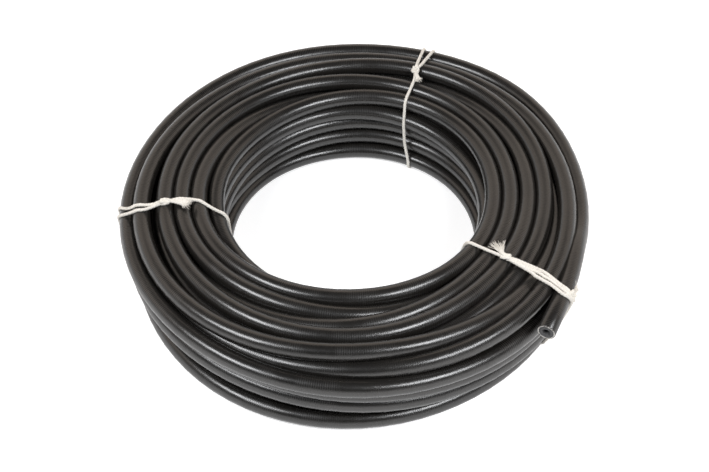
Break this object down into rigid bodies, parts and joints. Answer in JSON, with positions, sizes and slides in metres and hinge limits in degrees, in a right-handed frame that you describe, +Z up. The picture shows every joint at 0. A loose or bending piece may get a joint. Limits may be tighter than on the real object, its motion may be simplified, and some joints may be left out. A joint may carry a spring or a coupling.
{
  "type": "coil of braided rubber hose",
  "caption": "Tied round coil of small black rubber hose with a textile braid in its wall, two plain cut ends and white packing strings.",
  "frame": {"origin": "on the surface that the coil lies on, under the middle of the coil's box", "axes": "+Z up along the coil's axis; +X to the right and -Y towards the side where the outer free end lies on top of the coil"},
  "size_m": [0.3782, 0.3838, 0.0826],
  "materials": {
    "rubber": "satin extruded cover with fine regular cross ripples from the braid beneath",
    "textile_braid": "pale yarn bundles bedded in black rubber, seen at the cut faces",
    "liner_rubber": "matte cut rubber",
    "string": "soft twisted white string with frayed ends"
  },
  "bodies": {
    "root": {"hose_coil": "rubber", "outer_end_cover": "rubber", "outer_end_braid": "textile_braid", "outer_end_liner": "liner_rubber", "inner_end_cover": "rubber", "inner_end_braid": "textile_braid", "inner_end_liner": "liner_rubber", "back_tie_strands": "string", "back_tie_knot": "string", "back_tie_tails": "string", "left_tie_strands": "string", "left_tie_knot": "string", "left_tie_tails": "string", "right_tie_strands": "string", "right_tie_knot": "string", "right_tie_tails": "string", "right_tie_edge_knot": "string", "right_tie_edge_tail": "string"}
  },
  "joints": []
}
